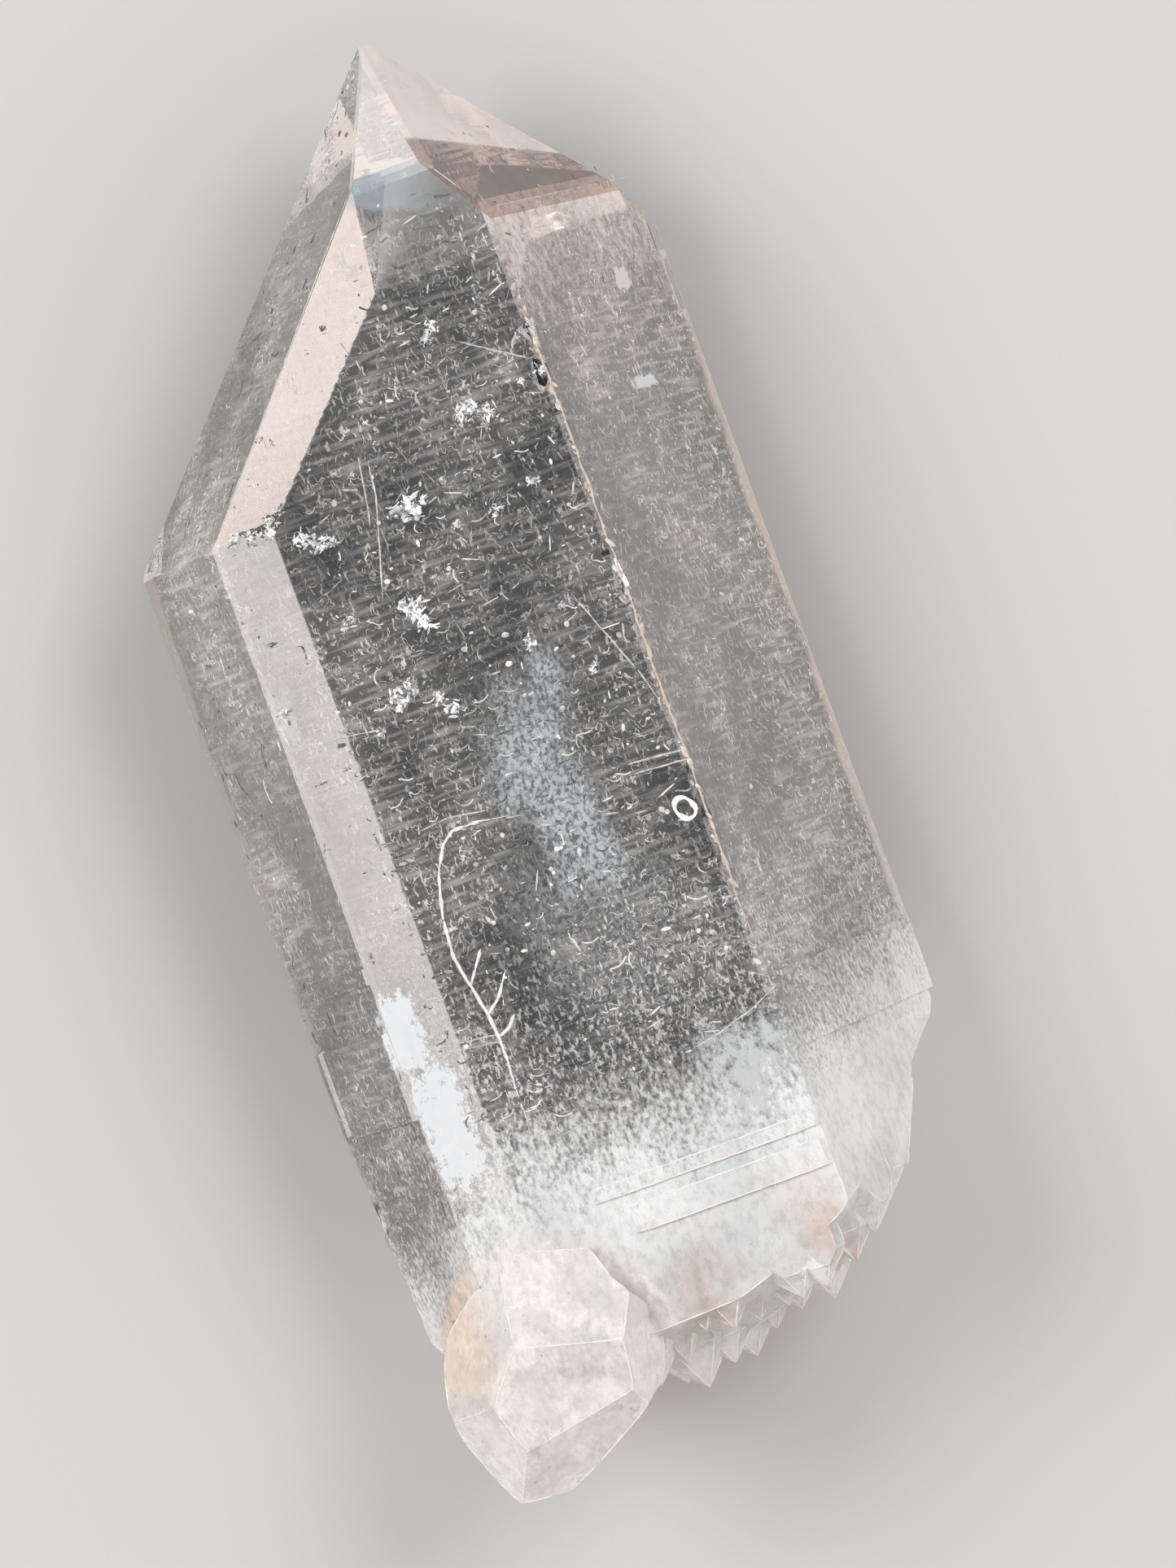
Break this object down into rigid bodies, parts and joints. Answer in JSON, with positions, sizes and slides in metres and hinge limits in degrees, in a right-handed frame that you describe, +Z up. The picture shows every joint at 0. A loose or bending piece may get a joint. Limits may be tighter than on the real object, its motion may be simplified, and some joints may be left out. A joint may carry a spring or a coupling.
{
  "type": "quartz crystal",
  "caption": "Clear self-healed quartz crystal: a six-sided prism with a sharp tip, a broken foot healed over with small points, and one short milky crystal grown onto the foot.",
  "frame": {"origin": "middle of the bounding box, at the bottom, where the flat back prism face rests", "axes": "+X runs along the crystal towards its tip, +Y across it to the left of the picture, +Z up towards the picture's camera"},
  "size_m": [0.0422, 0.0182, 0.0126],
  "materials": {
    "clear_quartz": "clear and glossy on the flat faces, milky at the healed foot"
  },
  "bodies": {
    "root": {"quartz_crystal": "clear_quartz"}
  },
  "joints": []
}
